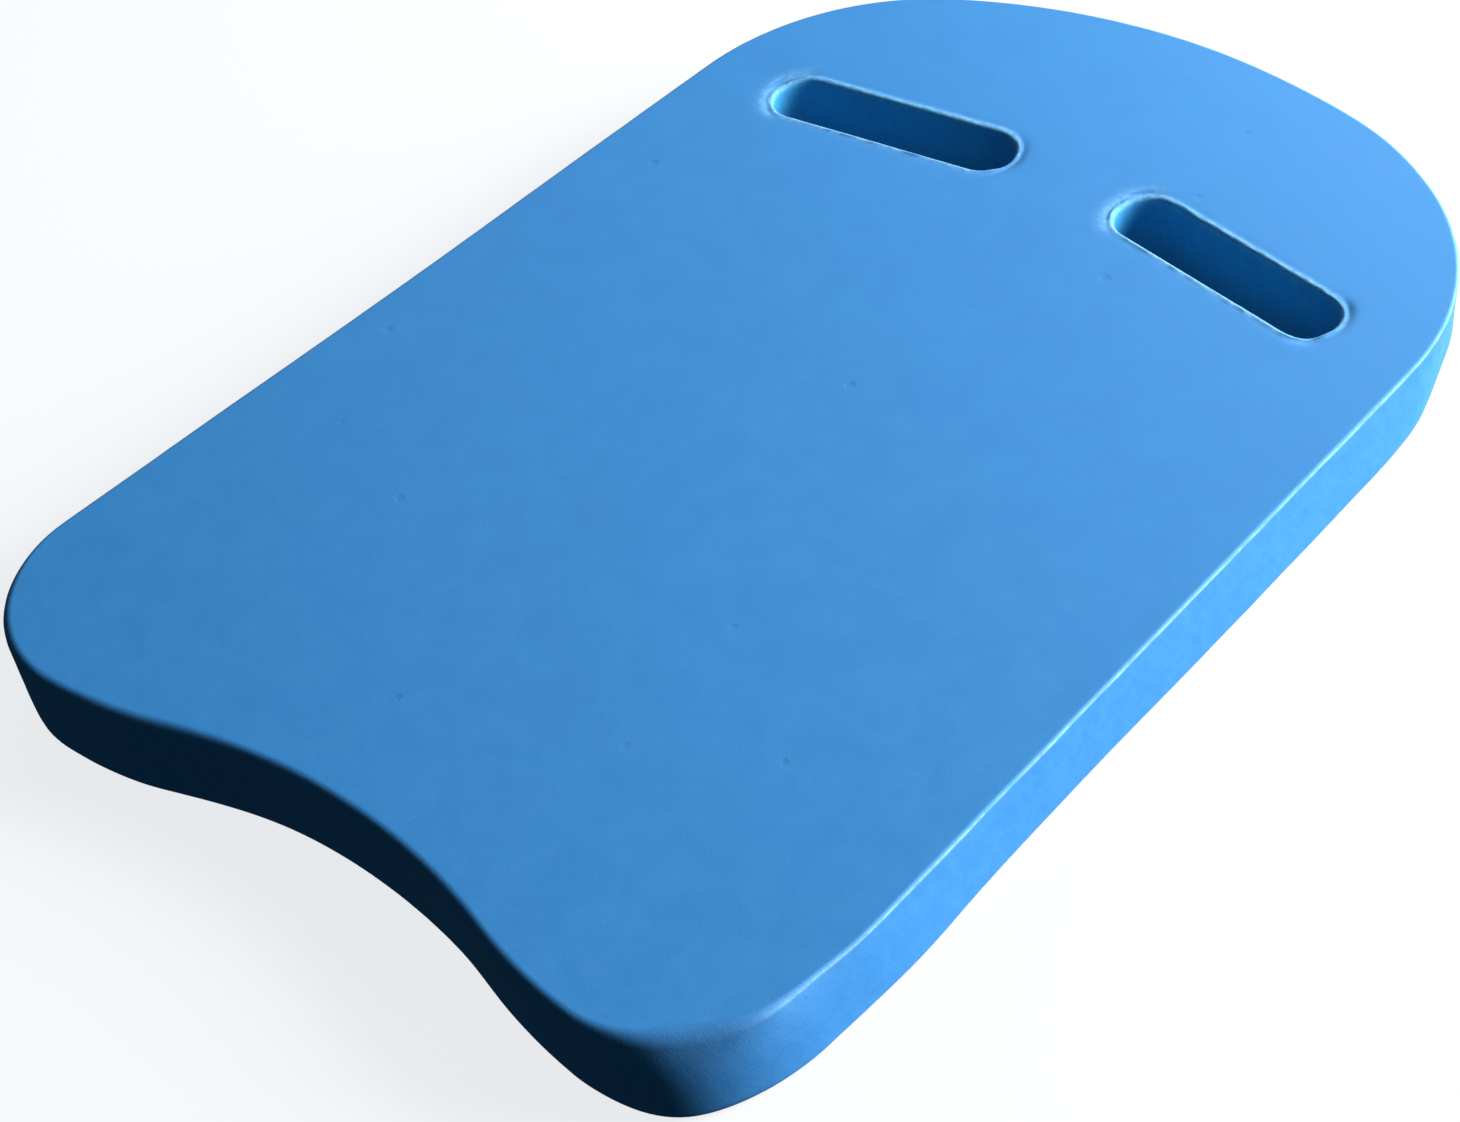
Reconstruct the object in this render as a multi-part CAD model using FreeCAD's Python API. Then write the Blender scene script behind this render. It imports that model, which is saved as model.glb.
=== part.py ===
import FreeCAD, Part
import math
import os

# Kickboard float: one slab of closed-cell foam with a round nose, straight sides, a tail
# with two round corners and a shallow hollow between them, and two hand slots cut through.
# Millimetres and degrees. The origin is the middle of the footprint on the underside,
# +Y points to the nose, +X to the right side and +Z up.

# Driving dimensions
LENGTH = 430.0           # from the nose tip to the tail's furthest points
WIDTH = 305.0            # across the tail corners, where the board is widest
THICKNESS = 27.5
NOSE_RADIUS = 201.0      # wide arc across the nose
SHOULDER_RADIUS = 88.5   # tighter arc from the nose round to the side
SIDE_TAPER = 2.1         # degrees that each straight side leans outwards to the tail
CORNER_RADIUS = 46.0     # round corner at each end of the tail
CORNER_END = -94.5       # angle from +X at which the corner hands over to the tail edge
TAIL_RADIUS = 172.0      # gentle arc of the tail edge, from the corner into the hollow
HOLLOW_DEPTH = 17.7      # how far the tail's hollow reaches in, on the centre line
EDGE_RADIUS = 2.5        # rounding of the outline's edges, top and bottom
SLOT_LENGTH = 90.0       # hand slot, over its round ends
SLOT_WIDTH = 21.0
SLOT_SPREAD = 67.0       # from the centre line to the middle of each slot
SLOT_SETBACK = 90.5      # from the nose tip back to the middle of each slot
SLOT_TILT = 9.0          # degrees that a slot's outer end leans towards the tail
LIP_RADIUS = 1.5         # rounding where a slot meets the top and bottom faces
CUT_MARGIN = 5.0         # how far the slot cutters stand past each face

NOSE_TIP = LENGTH / 2
TAIL_END = -LENGTH / 2
UP = FreeCAD.Vector(0, 0, 1)


def at(x, y):
    """A point on the underside's plane."""
    return FreeCAD.Vector(x, y, 0)


def polar(centre, radius, degrees):
    """The point at an angle from +X on a circle."""
    angle = math.radians(degrees)
    return centre + at(radius * math.cos(angle), radius * math.sin(angle))


def arc(centre, radius, start, end):
    """An arc of a circle between two angles, through the angle halfway."""
    middle = (start + end) / 2
    points = [polar(centre, radius, angle) for angle in (start, middle, end)]
    return Part.Arc(*points).toShape()


def mirrored(edges):
    """The same edges on the other side of the centre line."""
    return [edge.mirror(at(0, 0), FreeCAD.Vector(1, 0, 0)) for edge in edges]


def outline():
    """The board's closed outline: tangent arcs and one straight side, then their mirror."""
    nose_centre = at(0, NOSE_TIP - NOSE_RADIUS)
    corner_centre = at(WIDTH / 2 - CORNER_RADIUS, TAIL_END + CORNER_RADIUS)

    # The side's outward normal leans to the nose by the taper. The shoulder's centre keeps
    # one shoulder radius inside the side and touches the nose arc from within.
    side_normal = polar(at(0, 0), 1.0, SIDE_TAPER)
    side_offset = corner_centre.dot(side_normal) + CORNER_RADIUS
    reach = side_offset - SHOULDER_RADIUS - nose_centre.dot(side_normal)
    nose_end = SIDE_TAPER + math.degrees(math.acos(reach / (NOSE_RADIUS - SHOULDER_RADIUS)))
    shoulder_centre = polar(nose_centre, NOSE_RADIUS - SHOULDER_RADIUS, nose_end)

    # The tail edge's arc goes on from the corner's without a kink, so its centre lies on
    # the line through their joint. The hollow's arc is centred on the centre line behind the
    # tail and touches the tail edge's arc from outside, which settles its radius.
    tail_centre = polar(corner_centre, CORNER_RADIUS - TAIL_RADIUS, CORNER_END)
    rise = tail_centre.y - (TAIL_END + HOLLOW_DEPTH)
    gap = tail_centre.x ** 2 + rise ** 2 - TAIL_RADIUS ** 2
    hollow_radius = gap / (2 * (TAIL_RADIUS - rise))
    hollow_centre = at(0, TAIL_END + HOLLOW_DEPTH - hollow_radius)
    lean = tail_centre - hollow_centre
    hollow_angle = math.degrees(math.atan2(lean.y, lean.x))

    side_start = polar(shoulder_centre, SHOULDER_RADIUS, SIDE_TAPER)
    side_end = polar(corner_centre, CORNER_RADIUS, SIDE_TAPER)
    right = [
        arc(shoulder_centre, SHOULDER_RADIUS, nose_end, SIDE_TAPER),
        Part.LineSegment(side_start, side_end).toShape(),
        arc(corner_centre, CORNER_RADIUS, SIDE_TAPER, CORNER_END),
        arc(tail_centre, TAIL_RADIUS, CORNER_END, hollow_angle - 180),
    ]
    nose = arc(nose_centre, NOSE_RADIUS, 180 - nose_end, nose_end)
    hollow = arc(hollow_centre, hollow_radius, hollow_angle, 180 - hollow_angle)
    print("nose arc ends at %.2f deg, hollow radius %.2f mm" % (nose_end, hollow_radius))
    return Part.Wire(Part.__sortEdges__([nose, hollow] + right + mirrored(right)))


def slot_cutter(side):
    """A through cutter with full round ends for the hand slot on side +1 or -1."""
    radius = SLOT_WIDTH / 2
    half_run = SLOT_LENGTH / 2 - radius
    ends = [at(-half_run, 0), at(half_run, 0)]
    wire = Part.Wire([
        Part.LineSegment(at(-half_run, -radius), at(half_run, -radius)).toShape(),
        arc(ends[1], radius, -90, 90),
        Part.LineSegment(at(half_run, radius), at(-half_run, radius)).toShape(),
        arc(ends[0], radius, 90, 270),
    ])
    cutter = Part.Face(wire).extrude(UP * (THICKNESS + 2 * CUT_MARGIN))
    cutter.rotate(at(0, 0), UP, -side * SLOT_TILT)
    cutter.translate(FreeCAD.Vector(side * SLOT_SPREAD, NOSE_TIP - SLOT_SETBACK, -CUT_MARGIN))
    return cutter


def level_edges(solid):
    """The edges that lie flat, parallel to the faces."""
    return [edge for edge in solid.Edges if edge.BoundBox.ZLength < 1e-6]


def foam_board():
    """The slab with rounded edges, the two slots and their rounded lips."""
    slab = Part.Face(outline()).extrude(UP * THICKNESS)
    slab = slab.makeFillet(EDGE_RADIUS, level_edges(slab))
    cutters = [slot_cutter(side) for side in (1, -1)]
    board = slab.cut(cutters[0]).cut(cutters[1])
    lips = [
        edge for edge in level_edges(board)
        if any(cutter.BoundBox.isInside(edge.CenterOfMass) for cutter in cutters)
    ]
    board = board.makeFillet(LIP_RADIUS, lips)
    return board.Solids[0]


os.makedirs("parts", exist_ok=True)
board = foam_board()
board.exportStep("parts/foam_board.step")
box = board.optimalBoundingBox(False)
print("foam_board valid", board.isValid(), "solids", len(board.Solids))
print("box %.2f x %.2f x %.2f mm" % (box.XLength, box.YLength, box.ZLength))
print("lowest corner %.3f %.3f %.3f" % (box.XMin, box.YMin, box.ZMin))
print("volume %.1f cm3" % (board.Volume / 1000))
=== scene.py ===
# %% [markdown]
# # Kickboard float
# A kickboard is one slab of closed-cell foam that a swimmer holds while kicking. It has a
# round nose, straight sides, a tail with two round corners and a shallow hollow, and two
# hand slots cut through it. This lesson rebuilds it as one clean quad mesh and gives it the
# matte, finely pored finish of EVA foam.

# %% Load the frame
import math

import bmesh
import bpy
from mathutils import Matrix, Quaternion, Vector, kdtree, noise


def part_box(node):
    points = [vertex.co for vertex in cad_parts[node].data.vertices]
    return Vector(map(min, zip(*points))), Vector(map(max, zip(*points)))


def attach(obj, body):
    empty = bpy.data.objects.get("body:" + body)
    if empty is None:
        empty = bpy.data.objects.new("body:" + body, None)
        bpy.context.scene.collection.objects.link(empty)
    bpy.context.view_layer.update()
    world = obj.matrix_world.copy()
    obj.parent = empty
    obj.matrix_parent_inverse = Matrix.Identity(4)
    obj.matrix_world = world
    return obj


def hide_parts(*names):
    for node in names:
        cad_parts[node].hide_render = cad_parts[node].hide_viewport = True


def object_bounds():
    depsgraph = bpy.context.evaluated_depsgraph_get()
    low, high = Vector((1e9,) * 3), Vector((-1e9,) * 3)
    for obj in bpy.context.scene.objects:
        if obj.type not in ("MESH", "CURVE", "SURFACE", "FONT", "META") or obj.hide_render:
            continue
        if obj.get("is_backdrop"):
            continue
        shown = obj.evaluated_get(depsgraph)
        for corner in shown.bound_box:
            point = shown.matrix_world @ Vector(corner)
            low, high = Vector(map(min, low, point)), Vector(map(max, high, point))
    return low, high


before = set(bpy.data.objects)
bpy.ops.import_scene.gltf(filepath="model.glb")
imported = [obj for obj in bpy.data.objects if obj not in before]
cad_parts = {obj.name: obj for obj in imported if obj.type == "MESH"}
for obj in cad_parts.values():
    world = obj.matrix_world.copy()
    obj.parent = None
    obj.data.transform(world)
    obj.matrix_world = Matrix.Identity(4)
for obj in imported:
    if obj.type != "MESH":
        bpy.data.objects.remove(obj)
cad_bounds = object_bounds()
low, high = (Vector(corner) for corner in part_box("foam_board"))
LENGTH = high.y - low.y
WIDTH = high.x - low.x
THICKNESS = high.z - low.z
print("board %.1f x %.1f x %.1f mm" % (LENGTH * 1000, WIDTH * 1000, THICKNESS * 1000))

# %% [markdown]
# ## The camera
# The camera stands high in front of the right tail corner. It is placed by the point it looks
# at, two angles and a distance, which is how a person with a tripod would describe it, and it
# leans a little to one side. A long lens keeps the board's sides nearly parallel.

# %% Camera
AIM = Vector((0.0060, -0.0432, 0.0))
CAMERA_AZIMUTH = math.radians(48.09)
CAMERA_ELEVATION = math.radians(42.91)
CAMERA_LEAN = math.radians(-9.29)
CAMERA_DISTANCE = 1.0925
LENS_MM = 89.68

back = Vector((
    math.sin(CAMERA_AZIMUTH) * math.cos(CAMERA_ELEVATION),
    -math.cos(CAMERA_AZIMUTH) * math.cos(CAMERA_ELEVATION),
    math.sin(CAMERA_ELEVATION),
))
camera = bpy.data.objects.new("camera", bpy.data.cameras.new("camera"))
camera.data.lens = LENS_MM
camera.data.sensor_width = 36.0
camera.location = AIM + back * CAMERA_DISTANCE
camera.rotation_mode = "QUATERNION"
lean = Quaternion((0, 0, 1), CAMERA_LEAN)
camera.rotation_quaternion = back.to_track_quat("Z", "Y") @ lean
bpy.context.scene.collection.objects.link(camera)
bpy.context.scene.camera = camera
print("camera at", [round(value, 3) for value in camera.location])

# %% [markdown]
# ## The outline's dimensions
# The real board is die cut, so its outline is a chain of arcs that run into each other
# without a kink. Only a few radii are given. The rest follows from the rule that
# two arcs which touch share one line through both centres.

# %% Outline arcs
NOSE_RADIUS = 0.201
SHOULDER_RADIUS = 0.0885
SIDE_TAPER = 2.1
CORNER_RADIUS = 0.046
CORNER_END = -94.5
TAIL_RADIUS = 0.172
HOLLOW_DEPTH = 0.0177


def polar(centre, radius, degrees):
    """The point at an angle from +X on a circle in the board's plane."""
    angle = math.radians(degrees)
    return centre + Vector((math.cos(angle), math.sin(angle), 0)) * radius


nose_centre = Vector((0, high.y - NOSE_RADIUS, 0))
corner_centre = Vector((high.x - CORNER_RADIUS, low.y + CORNER_RADIUS, 0))
side_normal = polar(Vector(), 1, SIDE_TAPER)
reach = corner_centre.dot(side_normal) + CORNER_RADIUS - SHOULDER_RADIUS
reach -= nose_centre.dot(side_normal)
nose_end = SIDE_TAPER + math.degrees(math.acos(reach / (NOSE_RADIUS - SHOULDER_RADIUS)))
shoulder_centre = polar(nose_centre, NOSE_RADIUS - SHOULDER_RADIUS, nose_end)
tail_centre = polar(corner_centre, CORNER_RADIUS - TAIL_RADIUS, CORNER_END)
rise = tail_centre.y - (low.y + HOLLOW_DEPTH)
hollow_radius = (tail_centre.x**2 + rise**2 - TAIL_RADIUS**2) / (2 * (TAIL_RADIUS - rise))
hollow_centre = Vector((0, low.y + HOLLOW_DEPTH - hollow_radius, 0))
hollow_lean = tail_centre - hollow_centre
hollow_end = math.degrees(math.atan2(hollow_lean.y, hollow_lean.x))
print("nose arc ends at %.1f deg, hollow radius %.0f mm" % (nose_end, hollow_radius * 1000))

# %% [markdown]
# ## Drawing with spin
# The spin operator drags a vertex round a centre and leaves edges behind it, which is a
# compass. With no angle and a shift per step it is a ruler. A chain of vertices drawn with
# these two keeps its order, so later steps can pick out stretches of it by counting.


# %% Compass and ruler
def swing(bm, chain, centre, degrees, steps):
    """Carries the chain's last vertex round a centre and adds the new vertices."""
    bmesh.ops.spin(
        bm, geom=[chain[-1]], cent=centre, axis=(0, 0, 1),
        angle=math.radians(degrees), steps=steps,
    )
    bm.verts.ensure_lookup_table()
    chain.extend(bm.verts[-steps:])


def run(bm, chain, end, steps):
    """Carries the chain's last vertex along a straight line to a point."""
    stride = (Vector(end) - chain[-1].co) / steps
    bmesh.ops.spin(bm, geom=[chain[-1]], axis=(0, 0, 1), angle=0.0, dvec=stride, steps=steps)
    bm.verts.ensure_lookup_table()
    chain.extend(bm.verts[-steps:])


def edges_along(chain):
    """The edges from each vertex of a chain to the next."""
    pairs = zip(chain, chain[1:])
    return [next(e for e in a.link_edges if e.other_vert(a) is b) for a, b in pairs]


# %% [markdown]
# ## Half of the outline, three times
# The board is symmetric, so half of it is drawn and mirrored. The same chain is drawn on
# the outline, just inside the place where the rounded edge will end, and a little further
# in. The middle loop holds the face flat right up to the rounding, so the shading turns
# only where the foam does.

# %% Outline chains
HOLD_INSET, BAND_INSET = 0.0029, 0.0060
NOSE_STEPS, SHOULDER_STEPS, SIDE_STEPS = 54, 48, 136
CORNER_STEPS, TAIL_STEPS, HOLLOW_STEPS = 37, 19, 30


def half_outline(bm, inset):
    """Half of the outline from the nose tip to the hollow's middle, drawn inset."""
    chain = [bm.verts.new((0, high.y - inset, 0))]
    swing(bm, chain, nose_centre, nose_end - 90, NOSE_STEPS)
    swing(bm, chain, shoulder_centre, SIDE_TAPER - nose_end, SHOULDER_STEPS)
    run(bm, chain, polar(corner_centre, CORNER_RADIUS - inset, SIDE_TAPER), SIDE_STEPS)
    swing(bm, chain, corner_centre, CORNER_END - SIDE_TAPER, CORNER_STEPS)
    swing(bm, chain, tail_centre, hollow_end - 180 - CORNER_END, TAIL_STEPS)
    swing(bm, chain, hollow_centre, 90 - hollow_end, HOLLOW_STEPS)
    return chain


def bridge(bm, chains):
    """Fills the bands between neighbouring chains with squares."""
    for outer, inner in zip(chains, chains[1:]):
        bmesh.ops.bridge_loops(bm, edges=edges_along(outer) + edges_along(inner))


bm = bmesh.new()
rims = [half_outline(bm, inset) for inset in (0.0, HOLD_INSET, BAND_INSET)]
bridge(bm, rims)
inner_rim = rims[-1]
print("outline:", len(inner_rim), "points on each half")

# %% [markdown]
# ## A hand slot and its collar
# Each slot is a stadium: two straight runs and two full round ends. Larger stadiums round it
# make a collar of narrow bands. They are close together near the hole, because the punch
# leaves a raised burr and a shallow groove there.

# %% Slot and collar
SLOT_LENGTH = 0.090
SLOT_WIDTH = 0.021
SLOT_SPREAD = 0.067
SLOT_SETBACK = 0.0905
SLOT_TILT = 9.0
COLLAR_BANDS = (0.0, 0.0013, 0.0018, 0.0024, 0.0031, 0.0040, 0.0055, 0.0080)
COLLAR_REACH = COLLAR_BANDS[-1] + 0.0001
RUN_STEPS, END_STEPS = 48, 20


def stadium(bm, half_run, radius):
    """A closed chain round a stadium, from the left end of its lower run."""
    chain = [bm.verts.new((-half_run, -radius, 0))]
    run(bm, chain, (half_run, -radius, 0), RUN_STEPS)
    swing(bm, chain, (half_run, 0, 0), 180, END_STEPS)
    run(bm, chain, (-half_run, radius, 0), RUN_STEPS)
    swing(bm, chain, (-half_run, 0, 0), 180, END_STEPS)
    bmesh.ops.weld_verts(bm, targetmap={chain.pop(): chain[0]})
    return chain


half_run = (SLOT_LENGTH - SLOT_WIDTH) / 2
collars = [stadium(bm, half_run, SLOT_WIDTH / 2 + extra) for extra in COLLAR_BANDS]
bridge(bm, [chain + chain[:1] for chain in collars])
collar = collars[-1]
collar_verts = [vert for chain in collars for vert in chain]
tilt = Matrix.Rotation(math.radians(-SLOT_TILT), 3, "Z")
bmesh.ops.rotate(bm, verts=collar_verts, cent=(0, 0, 0), matrix=tilt)
slot_middle = Vector((SLOT_SPREAD, high.y - SLOT_SETBACK, 0))
bmesh.ops.translate(bm, verts=collar_verts, vec=slot_middle)
print("slot: %.0f x %.0f mm" % (SLOT_LENGTH * 1000, SLOT_WIDTH * 1000))

# %% [markdown]
# ## Four patches of quads
# The face round the slot could be one large polygon, but it could then neither sag nor
# undulate. Grid fill weaves an even net between two chains that have the same number of
# steps, so the half is divided into four patches: the nose, the body, and the gaps on each
# side of the slot. They meet at the collar's corners, a few steps round each end.

# %% Patch corners
ROUND_SHARE = 4
INNER_GAP_STEPS, OUTER_GAP_STEPS = 5, 7
NOSE_ROWS = 26
slot_side_steps = RUN_STEPS + 2 * ROUND_SHARE
slot_end_steps = END_STEPS - 2 * ROUND_SHARE
across_steps = INNER_GAP_STEPS + slot_side_steps + OUTER_GAP_STEPS


def stretch(chain, first, steps):
    """A stretch of a closed chain, counted round past its start."""
    return [chain[(first + i) % len(chain)] for i in range(steps + 1)]


def link(bm, start, end, steps):
    """A straight line of edges between two vertices that exist."""
    chain = [start]
    run(bm, chain, end.co + (start.co - end.co) / steps, steps - 1)
    bm.edges.new((chain[-1], end))
    return chain + [end]


lower_side = stretch(collar, -ROUND_SHARE, slot_side_steps)
upper_side = stretch(collar, RUN_STEPS + END_STEPS - ROUND_SHARE, slot_side_steps)[::-1]
shoulder_joint = inner_rim[across_steps + NOSE_ROWS]
side_joint = inner_rim[across_steps + NOSE_ROWS + slot_end_steps]
front_mid = bm.verts.new((0, upper_side[0].co.y, 0))
back_mid = bm.verts.new((0, lower_side[0].co.y, 0))

front_gap = link(bm, front_mid, upper_side[0], INNER_GAP_STEPS)
back_gap = link(bm, back_mid, lower_side[0], INNER_GAP_STEPS)
front_reach = link(bm, upper_side[-1], shoulder_joint, OUTER_GAP_STEPS)
back_reach = link(bm, lower_side[-1], side_joint, OUTER_GAP_STEPS)
body_rows = len(inner_rim) - 1 - 2 * across_steps - NOSE_ROWS - slot_end_steps
link(bm, inner_rim[0], front_mid, NOSE_ROWS)
link(bm, front_mid, back_mid, slot_end_steps)
link(bm, back_mid, inner_rim[-1], body_rows)
print("patches:", across_steps, "steps across,", body_rows, "rows down the body")

# %% [markdown]
# ## Weaving the net
# Each patch is named with its two opposite chains. Grid fill finds the two short sides by
# itself, because the lines between the corners already exist.

# %% Fill the patches
patches = {
    "outer gap": (front_reach, back_reach),
    "inner gap": (front_gap, back_gap),
    "nose": (front_gap[:-1] + upper_side + front_reach[1:], inner_rim[:across_steps + 1]),
    "body": (back_gap[:-1] + lower_side + back_reach[1:], inner_rim[-across_steps - 1:]),
}
for name, (first, second) in patches.items():
    count = len(bm.faces)
    bmesh.ops.grid_fill(bm, edges=edges_along(first) + edges_along(second))
    print(name, "patch:", len(bm.faces) - count, "quads")

# %% [markdown]
# ## Mirror and relax
# The half is mirrored, and the net between the bands is smoothed in its own plane. That
# spreads the quads evenly, the way a woven mat settles when it is shaken. The bands
# themselves are held still.

# %% Whole face
RELAX_ROUNDS = 60


def slot_reach(point):
    """How far a point lies outside the nearer slot's wall, and how far round its end."""
    local = Vector((abs(point.x), point.y)) - slot_middle.xy
    local.rotate(Matrix.Rotation(math.radians(SLOT_TILT), 2))
    past = max(abs(local.x) - half_run, 0.0)
    return Vector((past, local.y)).length - SLOT_WIDTH / 2, past / (SLOT_WIDTH / 2)


half = bm.verts[:] + bm.edges[:] + bm.faces[:]
bmesh.ops.mirror(bm, geom=half, matrix=Matrix.Identity(4), axis="X", merge_dist=1e-5)
held = {v for v in bm.verts if v.is_boundary}
for _ in range(2):
    held |= {e.other_vert(v) for v in held for e in v.link_edges}
held |= {v for v in bm.verts if slot_reach(v.co)[0] < COLLAR_REACH}
net = [v for v in bm.verts if v not in held]
for _ in range(RELAX_ROUNDS):
    bmesh.ops.smooth_vert(
        bm, verts=net, factor=0.5, use_axis_x=True, use_axis_y=True, use_axis_z=False
    )
print("face:", len(bm.faces), "quads,", sum(len(f.verts) != 4 for f in bm.faces), "others")

# %% [markdown]
# ## From sheet to slab
# The face is extruded by the thickness of the foam. The walls are then divided into rows, so
# that they can carry the faint waves that a blade leaves in foam.

# %% Extrude the slab
WALL_ROWS = 9
outline_spots = [v.co.copy() for v in bm.verts if v.is_boundary and slot_reach(v.co)[0] > 0.01]
raised = bmesh.ops.extrude_face_region(bm, geom=bm.faces[:])["geom"]
raised_verts = [item for item in raised if isinstance(item, bmesh.types.BMVert)]
bmesh.ops.translate(bm, verts=raised_verts, vec=(0, 0, THICKNESS))
uprights = [e for e in bm.edges if abs(e.verts[0].co.z - e.verts[1].co.z) > THICKNESS / 2]
bmesh.ops.subdivide_edges(bm, edges=uprights, cuts=WALL_ROWS - 1, use_grid_fill=True)
bmesh.ops.recalc_face_normals(bm, faces=bm.faces)
print("slab:", len(bm.faces), "faces")

# %% [markdown]
# ## Rounded edges
# The rim is rounded after cutting, while the slots' lips are sharp, because the punch only
# drags the skin in a little. Bevel does both: each group of edges gets its own radius. The
# edges are numbered afresh before each bevel, so that it takes them in their own order.

# %% Bevel rim and lips
EDGE_RADIUS = 0.0025
LIP_RADIUS = 0.0009
BEVEL_SEGMENTS = 6

crests = {e for e in bm.edges if e.calc_face_angle(0) > math.radians(60)}
lips = {e for e in crests if slot_reach(e.verts[0].co)[0] < 0.001}
for edges, radius in ((crests - lips, EDGE_RADIUS), (lips, LIP_RADIUS)):
    bm.edges.index_update()
    bmesh.ops.bevel(
        bm, geom=sorted(edges, key=lambda e: e.index), offset=radius, offset_type="OFFSET",
        segments=BEVEL_SEGMENTS, profile=0.5, affect="EDGES", material=-1,
        clamp_overlap=False, loop_slide=True,
    )
print("bevelled", len(crests - lips), "rim edges and", len(lips), "lip edges")

# %% [markdown]
# ## A tighter nose, a softer tail
# The rounding isn't the same all round. The nose and the sides keep a crisp edge, and the
# tail, which rubs against swimmers, is softer. Scaling each slice of the rounding about the
# sharp corner that it replaced changes its radius and keeps it tangent to both faces.

# %% Vary the rounding
CRISP_SHARE, SOFT_SHARE = 0.52, 1.12
SOFT_FROM, SOFT_TO = 0.165, 0.200
SLACK = 0.0003
outline_tree = kdtree.KDTree(len(outline_spots))
for index, spot in enumerate(outline_spots):
    outline_tree.insert(spot, index)
outline_tree.balance()


def ease(value, start, end):
    """A soft step from 0 at start to 1 at end."""
    share = min(max((value - start) / (end - start), 0.0), 1.0)
    return share * share * (3.0 - 2.0 * share)


rounded = 0
for vert in bm.verts:
    spot, _, gap = outline_tree.find(Vector((vert.co.x, vert.co.y, 0)))
    depth = min(vert.co.z, THICKNESS - vert.co.z)
    if gap > HOLD_INSET + SLACK or depth > THICKNESS / WALL_ROWS + SLACK:
        continue
    tailward = ease(-spot.y, SOFT_FROM, SOFT_TO)
    share = CRISP_SHARE + (SOFT_SHARE - CRISP_SHARE) * tailward
    corner = Vector((spot.x, spot.y, 0.0 if vert.co.z < THICKNESS / 2 else THICKNESS))
    vert.co = corner + (vert.co - corner) * share
    rounded += 1
print("rounding:", rounded, "points, from %.1f to %.1f mm" % (
    EDGE_RADIUS * CRISP_SHARE * 1000, EDGE_RADIUS * SOFT_SHARE * 1000))

# %% [markdown]
# ## Where the cutter wandered
# A long blade flexes in foam. It leans in under one shoulder, swings wide round the tail
# corners, and the nose is a little fuller on one side. Each of these is one soft push: a
# place on the outline, a direction in degrees, a width, how far it goes at the underside
# and at the top, and a power. At power 1 the wall between stays straight. At power 3 it
# stays upright below and curls in only near the top.

# %% Push the outline
CUTTER_PUSHES = (
    ("under the right shoulder", 0.136, 0.143, 18, 0.018, -0.0040, 0.0, 1),
    ("right of the nose", 0.074, 0.200, 68, 0.024, 0.0024, 0.0024, 1),
    ("front of the nose", -0.030, 0.213, 96, 0.055, -0.0009, -0.0009, 1),
    ("left side", -0.147, -0.030, 182, 0.060, -0.0010, -0.0010, 1),
    ("foot of the right side", 0.148, -0.050, 2, 0.035, -0.0007, 0.0, 1),
    ("foot of the side's end", 0.151, -0.128, 2, 0.014, 0.0010, 0.0, 1),
    ("start of the right corner", 0.154, -0.174, -8, 0.012, -0.0012, -0.0030, 3),
    ("foot of the right corner", 0.133, -0.205, -56, 0.013, 0.0034, 0.0, 3),
    ("top of the right corner", 0.140, -0.201, -44, 0.012, 0.0, -0.0036, 3),
    ("foot of the tail, right", 0.062, -0.206, -74, 0.022, -0.0010, 0.0, 1),
    ("foot of the tail, left", -0.068, -0.208, -104, 0.024, 0.0032, 0.0006, 1),
    ("foot of the left corner", -0.123, -0.212, -114, 0.009, -0.0016, 0.0, 1),
)
for vert in bm.verts:
    height = min(max(vert.co.z / THICKNESS, 0.0), 1.0)
    push = Vector()
    for _, x, y, degrees, width, low_push, top_push, power in CUTTER_PUSHES:
        distance = math.hypot(vert.co.x - x, vert.co.y - y)
        near = math.exp(-0.5 * (distance / width) ** 2)
        amount = low_push + (top_push - low_push) * height**power
        push += polar(Vector(), 1, degrees) * (near * amount)
    vert.co += push
print("pushes:", ", ".join(name for name, *_ in CUTTER_PUSHES))

# %% [markdown]
# ## Punched lips
# The punch presses the skin down before it breaks through. Round each hole it leaves a
# ragged burr that stands up, and outside that a groove. At the round ends the foam gives
# way most, so there the rim of the hole is dished. All of it follows from how far a point
# lies outside the hole.

# %% Shape the lips
BURR_HEIGHT, GROOVE_DEPTH, DISH_DEPTH = 0.00028, 0.00030, 0.0010
LIP_DEPTH = 0.0035


def ripple(point, size, seed):
    """Smooth noise between about -1 and 1, with bumps of a given size."""
    return noise.noise(point / size + Vector((seed, seed * 1.7, seed * 2.3)))


def hump(value, middle, width):
    """A soft bump of height 1 round a middle value."""
    return math.exp(-((value - middle) / width) ** 2)


slot_verts = [v for v in bm.verts if slot_reach(v.co)[0] < COLLAR_REACH]
for vert in slot_verts:
    outside, end_share = slot_reach(vert.co)
    depth = min(vert.co.z, THICKNESS - vert.co.z)
    if depth > LIP_DEPTH:
        continue
    upward = 1.0 if vert.co.z > THICKNESS / 2 else -1.0
    ragged = 0.5 + 0.7 * ripple(vert.co, 0.0045, 2.7) + 1.1 * ripple(vert.co, 0.0021, 9.4)
    ragged = min(max(ragged, -0.2), 1.4)
    torn = 0.6 + 0.8 * ripple(vert.co, 0.010, 4.4)
    ends = ease(end_share, 0.15, 0.85)
    burr = BURR_HEIGHT * hump(outside, 0.0012, 0.0006) * ragged * (1.0 + 0.8 * ends)
    groove = GROOVE_DEPTH * hump(outside, 0.0026, 0.0008) * (0.25 + 0.75 * ends) * torn
    dish = DISH_DEPTH * (1.0 - ease(outside, -0.0005, 0.0050)) * ends * max(torn, 0.2)
    fade = 1.0 - ease(depth, 0.0012, 0.0034)
    vert.co.z += upward * (burr - groove - dish) * fade
print("lips:", len(slot_verts), "points shaped")

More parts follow.
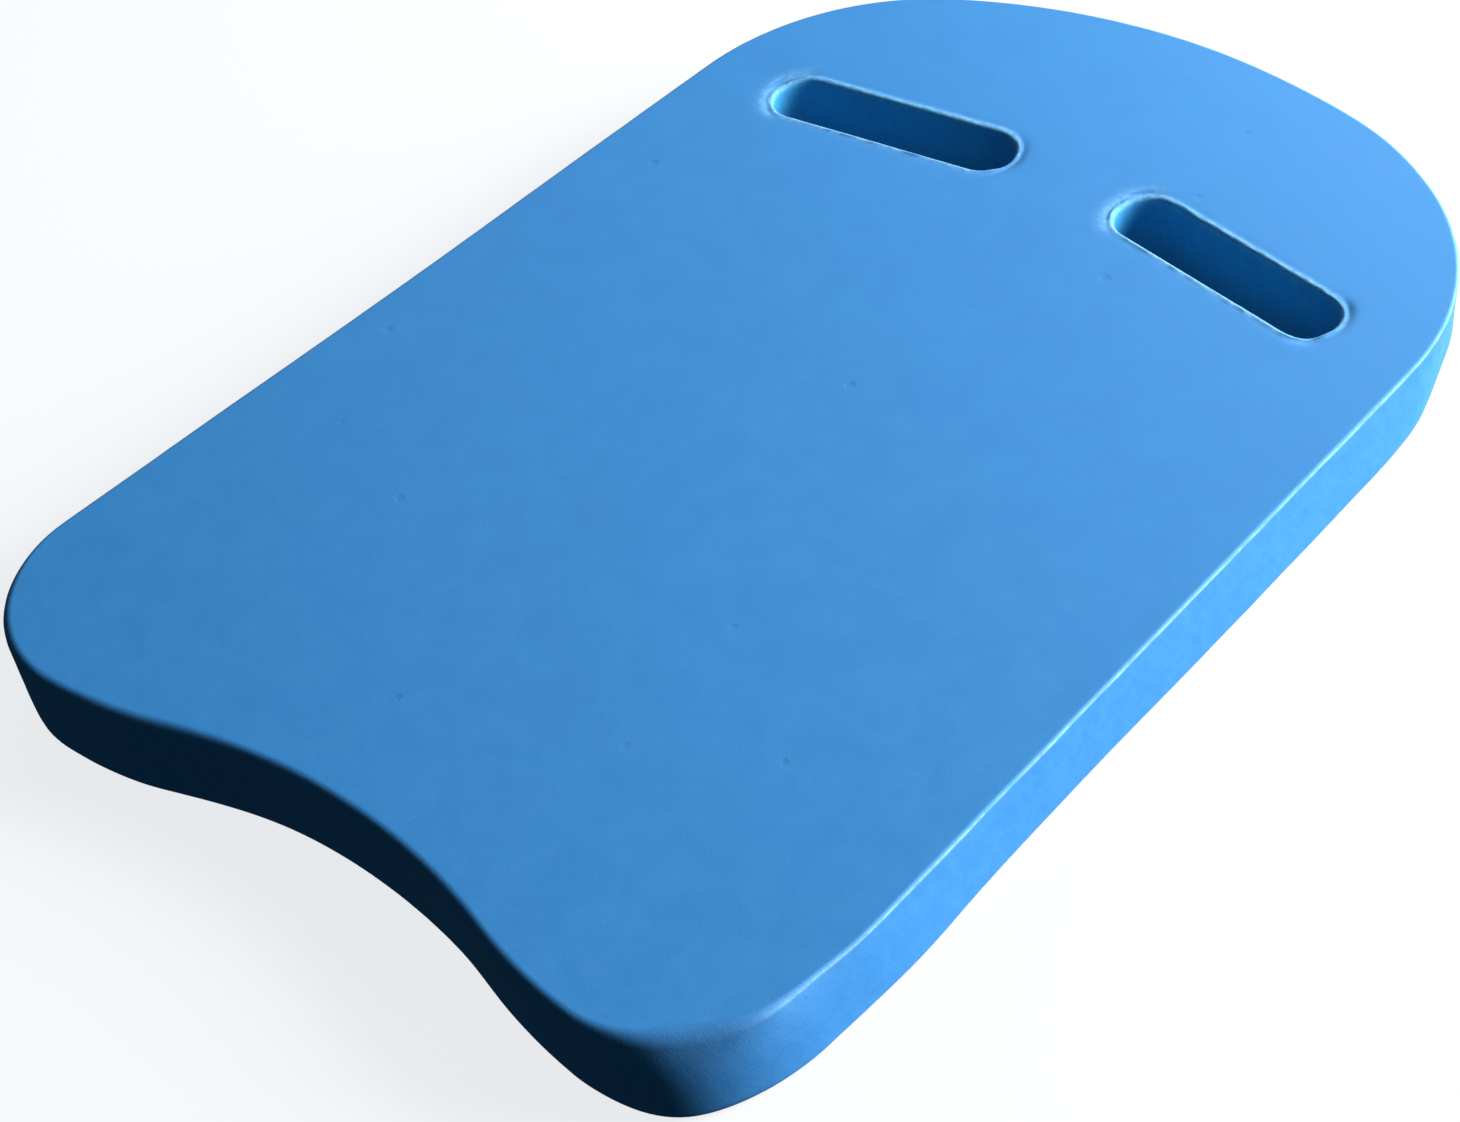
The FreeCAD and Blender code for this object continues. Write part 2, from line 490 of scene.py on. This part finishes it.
# %% [markdown]
# ## Hand-made unevenness
# Foam is soft, so nothing on the real board is quite true. The faces undulate by a tenth
# of a millimetre and the walls carry slow waves from the blade. Moving the points by
# smooth noise gives both, and because the shape itself moves, light finds it from every
# side. The board's own weight presses the underside flat, so no point goes below zero.

# %% Bend the surfaces
FACE_SWELLS = ((0.00010, 0.060, 3.1), (0.00003, 0.016, 7.7))
WALL_WAVES = ((0.00016, 0.028, 11.3), (0.00008, 0.008, 5.9))


def undulation(point, waves):
    """The sum of some ripples, each given by its height, size and seed."""
    return sum(height * ripple(point, size, seed) for height, size, seed in waves)


bm.normal_update()
moves = {}
for vert in bm.verts:
    flat = abs(vert.normal.z)
    swell = undulation(vert.co, FACE_SWELLS)
    wave = undulation(vert.co, WALL_WAVES)
    moves[vert] = vert.normal * (swell * flat + wave * (1.0 - flat))
for vert, move in moves.items():
    vert.co += move
    vert.co.z = max(vert.co.z, 0.0)
largest = max(move.length for move in moves.values())
print("largest move: %.2f mm" % (largest * 1000))

# %% [markdown]
# ## Three surfaces, one foam
# The board is one piece, but its surfaces were made in different ways: the skin that the
# foam grew against its mould, the wall where a blade opened the cells, and the punched
# slot walls. Each face of the mesh is marked with its own finish.

# %% Mark the finishes
SKIN, CUT, PUNCHED = 0, 1, 2
FLAT_ENOUGH = 0.95
bm.normal_update()
for face in bm.faces:
    face.smooth = True
    if slot_reach(face.calc_center_median())[0] < LIP_RADIUS:
        face.material_index = PUNCHED
    elif abs(face.normal.z) > FLAT_ENOUGH:
        face.material_index = SKIN
    else:
        face.material_index = CUT
print("finishes:", [sum(f.material_index == i for f in bm.faces) for i in range(3)], "faces")

# %% [markdown]
# ## Where wear and painted highlight can reach
# Two values are stored on the points, so that wear and a painted highlight can follow the
# edges: how near a point is to the rim, and how near to a lip. On the rim the value peaks on
# the middle of the rounding, and it fades round the soft tail, which lies in shade. At the
# left end of each slot, which faces the light, a painted highlight spreads outwards.

# %% Store the wear and painted highlight
RUBBED_AND_LIT_TO, UNRUBBED_AND_UNLIT_FROM = 0.168, 0.192
rim_abrasion_highlight_layer = bm.verts.layers.float.new("rim_wear_and_highlight")
lip_abrasion_highlight_layer = bm.verts.layers.float.new("lip_wear_and_highlight")
for vert in bm.verts:
    outside, end_share = slot_reach(vert.co)
    depth = min(vert.co.z, THICKNESS - vert.co.z)
    # The rim value peaks on the middle of the rounding; it drives wear and a painted highlight.
    slope = 1.0 - abs(2.0 * abs(vert.normal.z) - 1.0)
    # Wear and painted highlight fade round the tail, which lies in shade.
    abrasion_and_light_share = 1.0 - 0.9 * ease(-vert.co.y, RUBBED_AND_LIT_TO, UNRUBBED_AND_UNLIT_FROM)
    vert[rim_abrasion_highlight_layer] = slope * slope * abrasion_and_light_share if outside > COLLAR_BANDS[-1] else 0.0
    middle_x = math.copysign(SLOT_SPREAD, vert.co.x)
    # The left end of each slot faces the light: a painted highlight spreads from its lip there.
    light_facing_end = ease(end_share, 0.2, 0.8) * ease(middle_x - vert.co.x, 0.0, 0.03)
    painted_end_highlight = 0.8 * light_facing_end * (1.0 - ease(outside, 0.0015, 0.0075))
    # Wear and a painted highlight along the lip, and the painted highlight at the left end.
    lip = max(hump(outside, 0.0010, 0.0012), painted_end_highlight)
    vert[lip_abrasion_highlight_layer] = lip * (1.0 - ease(depth, 0.0, 0.003))

# %% [markdown]
# ## A steady order
# Extruding and subdividing leave their new parts in any order. Everything is sorted by its
# place before the mesh is made, so the points are numbered the same way every time.


# %% Make the board
def by_place(part):
    """The sorting key of a point, an edge or a face: where its points are."""
    if isinstance(part, bmesh.types.BMVert):
        return tuple(part.co)
    return sorted(tuple(vert.co) for vert in part.verts)


for parts in (bm.verts, bm.edges, bm.faces):
    rank = {part: place for place, part in enumerate(sorted(parts, key=by_place))}
    parts.sort(key=rank.get)
board_mesh = bpy.data.meshes.new("float_board")
bm.to_mesh(board_mesh)
bm.free()
board = bpy.data.objects.new("float_board", board_mesh)
bpy.context.scene.collection.objects.link(board)
board_mesh.calc_loop_triangles()
print("board mesh:", len(board_mesh.loop_triangles), "triangles")

# %% [markdown]
# ## Effects as node groups
# All three finishes share the same foam, so the effects are built once as node groups and
# placed in each material with their own values. A small helper makes the sockets, and
# another adds a node and sets it up in one line.


# %% Node helpers
def new_group(name, inputs, outputs):
    """A shader node group with named float or vector sockets."""
    group = bpy.data.node_groups.new(name, "ShaderNodeTree")
    kinds = {float: "NodeSocketFloat", Vector: "NodeSocketVector"}
    for title, start in inputs.items():
        socket = group.interface.new_socket(
            name=title, in_out="INPUT", socket_type=kinds[type(start)]
        )
        if isinstance(start, float):
            socket.default_value = start
    for title in outputs:
        group.interface.new_socket(name=title, in_out="OUTPUT", socket_type=kinds[float])
    return group, group.nodes.new("NodeGroupInput"), group.nodes.new("NodeGroupOutput")


def add(tree, kind, place, links=None, values=None, **settings):
    """Adds a node, sets it up and links its inputs."""
    node = tree.nodes.new("ShaderNode" + kind)
    node.location = place
    for name, value in settings.items():
        setattr(node, name, value)
    for name, value in (values or {}).items():
        node.inputs[name].default_value = value
    for name, source in (links or {}).items():
        tree.links.new(source, node.inputs[name])
    return node


def blend(tree, place, share, at_none, at_full):
    """Slides from one number to another as a mask goes from 0 to 1."""
    return add(
        tree, "MapRange", place, {"Value": share},
        {"To Min": at_none, "To Max": at_full},
    ).outputs["Result"]


# %% [markdown]
# ## Mottling
# Foam is never evenly dense. Where the cells are larger the surface looks a touch lighter and
# duller, in soft patches of one to two centimetres with ragged borders. Two sizes of noise,
# one bending the other, give borders of that kind.

# %% Mottle group
mottle, m_in, m_out = new_group(
    "foam_mottle", {"Position": Vector(), "Patch": 90.0, "Fleck": 900.0}, ["Patches", "Flecks"]
)
m_patch = add(
    mottle, "TexNoise", (-300, 200),
    {"Vector": m_in.outputs["Position"], "Scale": m_in.outputs["Patch"]},
    {"Detail": 5.0, "Roughness": 0.62, "Distortion": 0.8},
)
m_fleck = add(
    mottle, "TexNoise", (-300, -120),
    {"Vector": m_in.outputs["Position"], "Scale": m_in.outputs["Fleck"]},
    {"Detail": 2.0, "Roughness": 0.55},
)
m_soft = add(
    mottle, "MapRange", (0, 200), {"Value": m_patch.outputs["Fac"]},
    {"From Min": 0.36, "From Max": 0.64}, interpolation_type="SMOOTHSTEP",
)
m_dots = add(
    mottle, "MapRange", (0, -120), {"Value": m_fleck.outputs["Fac"]},
    {"From Min": 0.30, "From Max": 0.70},
)
mottle.links.new(m_soft.outputs["Result"], m_out.inputs["Patches"])
mottle.links.new(m_dots.outputs["Result"], m_out.inputs["Flecks"])
print(mottle.name, "nodes:", len(mottle.nodes))

# %% [markdown]
# ## Cells
# EVA is made of closed cells a few tenths of a millimetre across. A Voronoi pattern draws
# their walls, and a second, larger one keeps only a few of its cells as open pits. The
# group gives a height for the bump and a mask of the pits, which later darkens them as
# painted shade.

# %% Cell group
cells, c_in, c_out = new_group(
    "foam_cells",
    {"Position": Vector(), "Cells": 2200.0, "Pits": 260.0, "Pit share": 0.06, "Pit depth": 0.6},
    ["Height", "Pit mask"],
)
c_bend = add(
    cells, "TexNoise", (-900, 0), {"Vector": c_in.outputs["Position"]},
    {"Scale": 700.0, "Detail": 2.0},
)
c_centre = add(
    cells, "VectorMath", (-700, 0), {0: c_bend.outputs["Color"]},
    {1: (0.5, 0.5, 0.5)}, operation="SUBTRACT",
)
c_small = add(
    cells, "VectorMath", (-520, 0), {0: c_centre.outputs["Vector"]},
    {"Scale": 0.0006}, operation="SCALE",
)
c_place = add(
    cells, "VectorMath", (-340, 0),
    {0: c_in.outputs["Position"], 1: c_small.outputs["Vector"]}, operation="ADD",
)
c_walls = add(
    cells, "TexVoronoi", (-140, 200),
    {"Vector": c_place.outputs["Vector"], "Scale": c_in.outputs["Cells"]}, feature="F1",
)
c_pits = add(
    cells, "TexVoronoi", (-140, -160),
    {"Vector": c_place.outputs["Vector"], "Scale": c_in.outputs["Pits"]}, feature="F1",
)
c_pick = add(cells, "SeparateColor", (60, -320), {"Color": c_pits.outputs["Color"]})
c_rare = add(
    cells, "Math", (240, -320),
    {0: c_pick.outputs["Red"], 1: c_in.outputs["Pit share"]}, operation="LESS_THAN",
)
c_round = add(
    cells, "MapRange", (60, -100), {"Value": c_pits.outputs["Distance"]},
    {"From Min": 0.12, "From Max": 0.34, "To Min": 1.0, "To Max": 0.0},
    interpolation_type="SMOOTHSTEP",
)
c_mask = add(
    cells, "Math", (420, -160),
    {0: c_round.outputs["Result"], 1: c_rare.outputs["Value"]}, operation="MULTIPLY",
)
c_sink = add(
    cells, "Math", (600, -60),
    {0: c_mask.outputs["Value"], 1: c_in.outputs["Pit depth"]}, operation="MULTIPLY",
)
c_bulge = add(
    cells, "MapRange", (240, 200), {"Value": c_walls.outputs["Distance"]},
    {"From Min": 0.0, "From Max": 0.75, "To Min": 0.5, "To Max": 0.0},
)
c_height = add(
    cells, "Math", (800, 80),
    {0: c_bulge.outputs["Result"], 1: c_sink.outputs["Value"]}, operation="SUBTRACT",
)
cells.links.new(c_height.outputs["Value"], c_out.inputs["Height"])
cells.links.new(c_mask.outputs["Value"], c_out.inputs["Pit mask"])
print(cells.name, "nodes:", len(cells.nodes))

# %% [markdown]
# ## Wear and painted highlight
# Hands and pool edges rub the rim and the lips. Worn foam is paler and duller, and it wears
# in broken patches, so the stored edge value is broken up with noise before it is used. The
# same pale tint also paints the highlight where the lit rim and lips catch the light.

# %% Wear and painted highlight group
# This group breaks up both wear and the painted highlight on the lit rim and lips.
wear, w_in, w_out = new_group(
    "edge_wear_and_highlight", {"Position": Vector(), "Edge": 0.0, "Patch": 160.0, "Amount": 1.0}, ["Wear"]
)
w_noise = add(
    wear, "TexNoise", (-300, 0),
    {"Vector": w_in.outputs["Position"], "Scale": w_in.outputs["Patch"]},
    {"Detail": 6.0, "Roughness": 0.66},
)
w_break = add(
    wear, "MapRange", (-100, 0), {"Value": w_noise.outputs["Fac"]},
    {"From Min": 0.38, "From Max": 0.66, "To Min": 0.25, "To Max": 1.0},
)
w_edge = add(
    wear, "Math", (100, 60),
    {0: w_break.outputs["Result"], 1: w_in.outputs["Edge"]}, operation="MULTIPLY",
)
w_amount = add(
    wear, "Math", (280, 60),
    {0: w_edge.outputs["Value"], 1: w_in.outputs["Amount"]}, operation="MULTIPLY",
    use_clamp=True,
)
wear.links.new(w_amount.outputs["Value"], w_out.inputs["Wear"])
print(wear.name, "nodes:", len(wear.nodes))

# %% [markdown]
# ## Drag marks
# A blade that is pulled through foam leaves short marks across the cut, from face to face
# and a little slanted. Noise that is stretched along the blade's path draws them.

# %% Drag group
drag, d_in, d_out = new_group(
    "blade_drag", {"Position": Vector(), "Marks": 420.0, "Slant": 0.5}, ["Marks"]
)
d_turn = add(
    drag, "Mapping", (-520, 0), {"Vector": d_in.outputs["Position"]},
    {"Scale": (1.0, 1.0, 0.16)},
)
d_split = add(drag, "SeparateXYZ", (-700, -260), {"Vector": d_in.outputs["Position"]})
d_lean = add(
    drag, "Math", (-520, -260), {0: d_split.outputs["Z"], 1: d_in.outputs["Slant"]},
    operation="MULTIPLY",
)
d_shift = add(drag, "CombineXYZ", (-340, -260), {"Y": d_lean.outputs["Value"]})
d_place = add(
    drag, "VectorMath", (-160, 0),
    {0: d_turn.outputs["Vector"], 1: d_shift.outputs["Vector"]}, operation="ADD",
)
d_noise = add(
    drag, "TexNoise", (20, 0),
    {"Vector": d_place.outputs["Vector"], "Scale": d_in.outputs["Marks"]},
    {"Detail": 4.0, "Roughness": 0.6, "Distortion": 0.4},
)
d_range = add(
    drag, "MapRange", (220, 0), {"Value": d_noise.outputs["Fac"]},
    {"From Min": 0.32, "From Max": 0.68},
)
drag.links.new(d_range.outputs["Result"], d_out.inputs["Marks"])
print(drag.name, "nodes:", len(drag.nodes))

# %% [markdown]
# ## The blues
# Every colour of the board is one sky blue, seen in a different state: the skin, the cut
# wall, the punched walls, the paler patches, worn foam and dark drag marks. Two of them also
# paint light: the pale worn blue is a painted highlight on the lit rim and lips, and the
# dark blue is painted shade in the pits. Two helpers lay one colour over another and place
# a node group in a material.

# %% Colours and helpers
BLUE = (0.009, 0.196, 0.525, 1.0)
CUT_BLUE = (0.024, 0.212, 0.580, 1.0)
SHADED_BLUE = (0.014, 0.275, 0.515, 1.0)
PALE = (0.026, 0.245, 0.585, 1.0)
# Pale worn foam; the same tint also paints the highlight on the lit rim and lips.
WORN_AND_HIGHLIGHT = (0.360, 0.680, 0.930, 1.0)
# Dark drag marks; the same blue also paints the shade in the pits.
DARK_MARKS_AND_PIT_SHADE = (0.006, 0.130, 0.400, 1.0)


def tint(tree, place, share, ground, over):
    """Lays one colour over another by a mask."""
    node = add(tree, "Mix", place, data_type="RGBA")
    tree.links.new(share, node.inputs["Factor"])
    for index, colour in ((6, ground), (7, over)):
        if isinstance(colour, tuple):
            node.inputs[index].default_value = colour
        else:
            tree.links.new(colour, node.inputs[index])
    return node.outputs[2]


def place_group(tree, group, place, links, values):
    """Places a node group in a material with its own values."""
    node = add(tree, "Group", place, node_tree=group)
    for name, value in values.items():
        node.inputs[name].default_value = value
    for name, source in links.items():
        tree.links.new(source, node.inputs[name])
    return node


# %% [markdown]
# ## The foam materials
# One function wires the groups into a Principled shader, because the three finishes differ
# only in their numbers. Patches, flecks and marks each pull the blue a little lighter or
# darker. The pits are darkened as painted shade, and the pale wear tint is also a painted
# highlight on the lit rim and lips. The patches and the wear also drive the roughness, so
# worn foam is dull as well as pale.


# %% Foam material
def foam(name, spec):
    """A foam finish from the shared groups and this finish's numbers."""
    material = bpy.data.materials.new(name)
    material.use_nodes = True
    tree = material.node_tree
    shader = tree.nodes["Principled BSDF"]
    where = add(tree, "TexCoord", (-1500, 0)).outputs["Object"]
    spots = place_group(
        tree, mottle, (-1200, 400), {"Position": where},
        {"Patch": spec["patch"], "Fleck": spec["fleck"]},
    )
    pores = place_group(
        tree, cells, (-1200, 100), {"Position": where},
        {"Cells": spec["cells"], "Pits": spec["pits"], "Pit share": spec["pit_share"],
         "Pit depth": spec["pit_depth"]},
    )
    marks = place_group(
        tree, drag, (-1200, -200), {"Position": where},
        {"Marks": spec["marks"], "Slant": spec["slant"]},
    )
    edge = add(tree, "Attribute", (-1500, -500), attribute_name=spec["edge"])
    rubbed_and_highlit = place_group(
        tree, wear, (-1200, -500), {"Position": where, "Edge": edge.outputs["Fac"]},
        {"Patch": spec["wear_patch"], "Amount": spec["wear"]},
    )
    patch_share = blend(tree, (-900, 500), spots.outputs["Patches"], 0.0, spec["patch_tint"])
    fleck_share = blend(tree, (-900, 300), spots.outputs["Flecks"], 0.0, spec["fleck_tint"])
    mark_share = blend(tree, (-900, -100), marks.outputs["Marks"], 0.0, spec["mark_tint"])
    colour = tint(tree, (-650, 500), patch_share, spec["ground"], PALE)
    colour = tint(tree, (-450, 500), fleck_share, colour, PALE)
    colour = tint(tree, (-250, 500), mark_share, colour, DARK_MARKS_AND_PIT_SHADE)
    # Painted shade: the pits are darkened.
    pit_share = blend(tree, (-900, 100), pores.outputs["Pit mask"], 0.0, spec["pit_shade_tint"])
    colour = tint(tree, (-50, 500), pit_share, colour, DARK_MARKS_AND_PIT_SHADE)
    # Wear, and along the lit rim and lips a painted highlight.
    colour = tint(tree, (150, 500), rubbed_and_highlit.outputs["Wear"], colour, WORN_AND_HIGHLIGHT)
    tree.links.new(colour, shader.inputs["Base Color"])
    dull = blend(
        tree, (-450, 0), spots.outputs["Patches"], spec["rough"] - 0.05, spec["rough"] + 0.05
    )
    duller = add(
        tree, "Math", (-250, 0), {0: rubbed_and_highlit.outputs["Wear"], 1: dull, 2: dull},
        operation="MULTIPLY_ADD",
    )
    limit = add(
        tree, "Math", (-50, 0), {0: duller.outputs["Value"]}, {1: 0.9}, operation="MINIMUM"
    )
    tree.links.new(limit.outputs["Value"], shader.inputs["Roughness"])
    mark_height = blend(tree, (-900, -250), marks.outputs["Marks"], spec["mark_height"], 0.0)
    height = add(
        tree, "Math", (-450, -300), {0: pores.outputs["Height"], 1: mark_height},
        operation="ADD",
    )
    bump = add(
        tree, "Bump", (-250, -300), {"Height": height.outputs["Value"]},
        {"Strength": 1.0, "Distance": spec["relief"]},
    )
    tree.links.new(bump.outputs["Normal"], shader.inputs["Normal"])
    shader.inputs["Specular IOR Level"].default_value = 0.7
    board_mesh.materials.append(material)


# %% [markdown]
# ## Skin, cut wall and punched wall
# The skin is the smoothest: small cells, few pits, broad patches. The cut wall shows the
# opened cells, so its relief is deeper and it has drag marks. The punched walls are
# scraped hardest, and their lips are the most worn. In all three the wear tint is also a
# painted highlight along the lit rim and lips.

# %% Three finishes
foam("foam_skin", {
    "ground": BLUE, "patch": 75.0, "fleck": 1100.0, "cells": 2600.0, "pits": 150.0,
    "pit_share": 0.010, "pit_depth": 2.0, "pit_shade_tint": 0.25, "marks": 300.0, "slant": 0.0,
    "edge": "lip_wear_and_highlight", "wear_patch": 520.0, "wear": 0.50, "patch_tint": 0.22,
    "fleck_tint": 0.10, "mark_tint": 0.0, "mark_height": 0.0, "rough": 0.68,
    "relief": 0.00004,
})
foam("foam_cut", {
    "ground": CUT_BLUE, "patch": 150.0, "fleck": 800.0, "cells": 1700.0, "pits": 420.0,
    "pit_share": 0.03, "pit_depth": 0.8, "pit_shade_tint": 0.4, "marks": 300.0, "slant": 0.6,
    "edge": "rim_wear_and_highlight", "wear_patch": 160.0, "wear": 0.85, "patch_tint": 0.40,
    "fleck_tint": 0.16, "mark_tint": 0.12, "mark_height": 0.5, "rough": 0.70,
    "relief": 0.00004,
})
foam("foam_punched", {
    "ground": SHADED_BLUE, "patch": 220.0, "fleck": 800.0, "cells": 1500.0, "pits": 420.0,
    "pit_share": 0.03, "pit_depth": 0.8, "pit_shade_tint": 0.4, "marks": 420.0, "slant": 0.10,
    "edge": "lip_wear_and_highlight", "wear_patch": 640.0, "wear": 0.55, "patch_tint": 0.20,
    "fleck_tint": 0.16, "mark_tint": 0.25, "mark_height": 0.7, "rough": 0.68,
    "relief": 0.00008,
})
print("finishes:", [material.name for material in board_mesh.materials])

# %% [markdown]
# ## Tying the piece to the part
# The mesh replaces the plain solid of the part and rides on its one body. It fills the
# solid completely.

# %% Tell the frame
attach(board, "root")
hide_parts("foam_board")

# %% [markdown]
# ## Floor
# The board lies on pale paper. The paper glows a little, as it does when it is lit from all
# round, so the shadow stays faint. It throws no light back on the board's dark tail. It
# lies a tenth of a millimetre lower than the board, so that the two surfaces never mix.

# %% Floor
FLOOR_GAP = 0.0001
floor_mesh = bpy.data.meshes.new("floor")
bm = bmesh.new()
bmesh.ops.create_grid(bm, x_segments=1, y_segments=1, size=30.0)
bm.to_mesh(floor_mesh)
bm.free()
floor = bpy.data.objects.new("floor", floor_mesh)
floor.location.z = -FLOOR_GAP
bpy.context.scene.collection.objects.link(floor)
paper_material = bpy.data.materials.new("pale_paper")
paper_material.use_nodes = True
paper = paper_material.node_tree.nodes["Principled BSDF"]
paper.inputs["Base Color"].default_value = (0.16, 0.16, 0.16, 1.0)
paper.inputs["Roughness"].default_value = 1.0
paper.inputs["Specular IOR Level"].default_value = 0.0
paper.inputs["Emission Color"].default_value = (0.93, 0.95, 0.97, 1.0)
paper.inputs["Emission Strength"].default_value = 0.86
floor_mesh.materials.append(paper_material)
floor.visible_diffuse = False
floor.visible_glossy = False
floor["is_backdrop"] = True
print("floor: %.1f mm below the board" % (FLOOR_GAP * 1000))

# %% [markdown]
# ## Light
# One large soft box stands low beyond the nose on the right. It rakes over the top, so the
# board brightens towards it, and it lights the right wall more than the top. A small box
# near the nose adds to that. A weak one behind keeps the far walls readable.


# %% Soft boxes
def softbox(name, azimuth, elevation, distance, size, watts):
    """A square soft light that faces the board from a direction and a distance."""
    flat = math.cos(math.radians(elevation)) * distance
    light = bpy.data.lights.new(name, "AREA")
    light.shape = "SQUARE"
    light.size = size
    light.energy = watts
    lamp = bpy.data.objects.new(name, light)
    lamp.location = (
        math.cos(math.radians(azimuth)) * flat,
        math.sin(math.radians(azimuth)) * flat,
        math.sin(math.radians(elevation)) * distance,
    )
    lamp.rotation_euler = lamp.location.to_track_quat("Z", "Y").to_euler()
    bpy.context.scene.collection.objects.link(lamp)
    print(name, "at", [round(value, 2) for value in lamp.location])


softbox("key_box", 46.0, 21.8, 2.10, 1.30, 140.0)
softbox("nose_box", 92.1, 9.1, 0.60, 0.41, 2.8)
softbox("back_box", 140.0, 30.0, 2.5, 1.2, 8.0)

# %% [markdown]
# ## Surroundings and view
# Very little light comes from all round: the shaded tail stays deep. The camera itself sees
# a pale backdrop beyond the floor.

# %% World
world = bpy.data.worlds.new("studio")
bpy.context.scene.world = world
world.use_nodes = True
sky = world.node_tree
ambient = sky.nodes["Background"]
ambient.inputs["Color"].default_value = (0.45, 0.93, 1.0, 1.0)
ambient.inputs["Strength"].default_value = 0.045
backdrop = add(sky, "Background", (0, -200), values={"Color": (0.93, 0.95, 0.97, 1.0)})
seen = add(sky, "LightPath", (-200, 200))
choose = add(sky, "MixShader", (200, 0), {
    0: seen.outputs["Is Camera Ray"], 1: ambient.outputs[0], 2: backdrop.outputs[0],
})
sky.links.new(choose.outputs[0], sky.nodes["World Output"].inputs["Surface"])
bpy.context.scene.view_settings.view_transform = "Standard"
print("world:", world.name, "with", len(sky.nodes), "nodes")

# %% Sizes
visual_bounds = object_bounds()
growth = [
    round((high_b - low_b - high_a + low_a) * 1000, 2)
    for low_a, high_a, low_b, high_b in zip(*cad_bounds, *visual_bounds)
]
print("growth over the part in mm:", growth)
